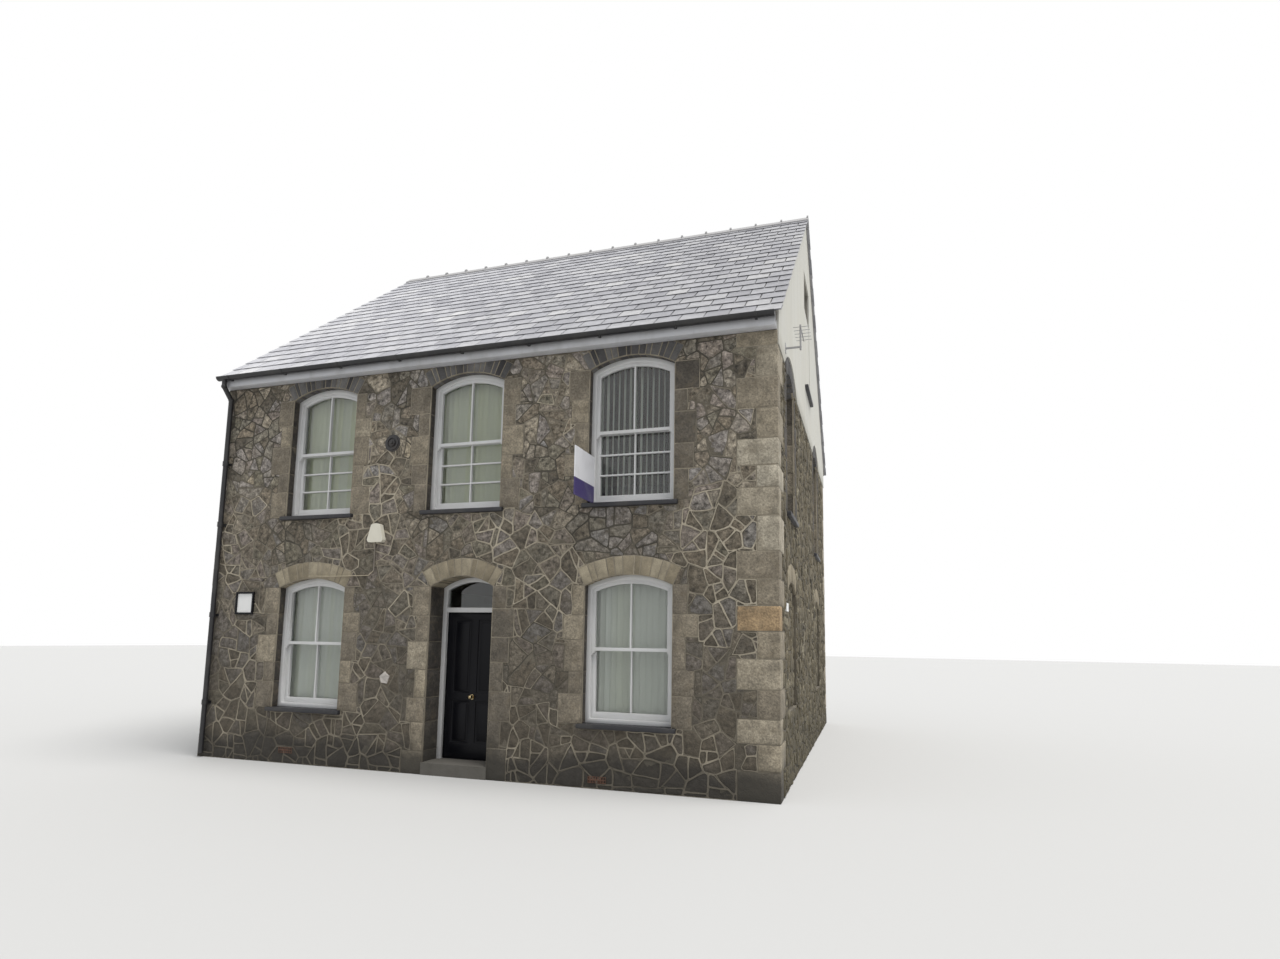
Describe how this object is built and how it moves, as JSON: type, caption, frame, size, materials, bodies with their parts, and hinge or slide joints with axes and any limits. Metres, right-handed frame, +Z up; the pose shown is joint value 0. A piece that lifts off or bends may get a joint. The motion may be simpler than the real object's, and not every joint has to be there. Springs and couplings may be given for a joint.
{
  "type": "stone corner building",
  "caption": "Two-storey rubble stone building at the end of a row, with arched sash windows, a hinged street door, a rendered gable and a slate roof.",
  "frame": {"origin": "middle of the footprint, on the underside of the ground floor at the level of the walls' feet", "axes": "+X along the street front towards the gable and the side street, +Y from the street front to the back, +Z up"},
  "size_m": [8.522, 9.125, 9.2787],
  "materials": {
    "rubble": "rough rubble with raised pointing",
    "inner_stone": "rough",
    "render": "smooth painted render",
    "concrete": "matt",
    "floor_timber": "sawn boards",
    "dressed_stone": "tooled sandstone",
    "buff_stone": "tooled sandstone",
    "dark_stone": "split slate stone",
    "slate_slab": "sawn slate",
    "white_paint": "gloss painted timber",
    "pane": "clear",
    "blind_cloth": "woven strips",
    "infill_stone": "rubble infill",
    "brown_timber": "brown stain",
    "step_stone": "worn",
    "black_paint": "gloss painted timber",
    "knob_brass": "worn",
    "hinge_steel": "dull",
    "roof_timber": "sawn",
    "roof_slate": "natural slate",
    "ridge_clay": "dark fired clay",
    "grey_paint": "weathered paint",
    "black_plastic": "weathered",
    "black_iron": "painted",
    "cream_plastic": "weathered",
    "black_frame": "satin",
    "white_plate": "satin",
    "aerial_metal": "weathered"
  },
  "bodies": {
    "building": {"front_wall_left": "rubble", "front_wall_right": "rubble", "front_wall_upper": "rubble", "side_wall": "rubble", "gable_wall": "inner_stone", "gable_render": "render", "back_wall": "rubble", "party_wall": "inner_stone", "wall_heads": "inner_stone", "ground_floor": "concrete", "upper_floors": "floor_timber", "quoins": "dressed_stone", "jamb_stones": "dressed_stone", "arches_lower": "buff_stone", "arches_upper": "dark_stone", "back_lintels": "dressed_stone", "window_sills": "slate_slab", "window_frames": "white_paint", "top_sashes": "white_paint", "bottom_sashes": "white_paint", "window_glass": "pane", "window_blinds": "blind_cloth", "blocked_windows": "infill_stone", "attic_frame": "brown_timber", "attic_panel": "render", "door_step": "step_stone", "door_frame": "white_paint", "hinge_pins": "hinge_steel", "roof_deck_front": "roof_timber", "roof_deck_back": "roof_timber", "slates_front": "roof_slate", "slates_back": "roof_slate", "ridge_tiles": "ridge_clay", "eaves_boards": "grey_paint", "gutters": "black_plastic", "downpipes": "black_plastic", "tie_plate": "black_iron", "alarm_box": "cream_plastic", "notice_frame": "black_frame", "notice_plates": "white_plate", "agent_board": "white_plate", "gable_aerial": "aerial_metal"},
    "door": {"door_leaf": "black_paint", "door_knob": "knob_brass", "door_hinges": "hinge_steel"}
  },
  "joints": [
    {"name": "door_hinge", "type": "hinge", "parent": "building", "child": "door", "pos_m": [-0.362, -3.738, 0.15], "axis": [0, 0, 1], "range_deg": [0, 90]}
  ]
}
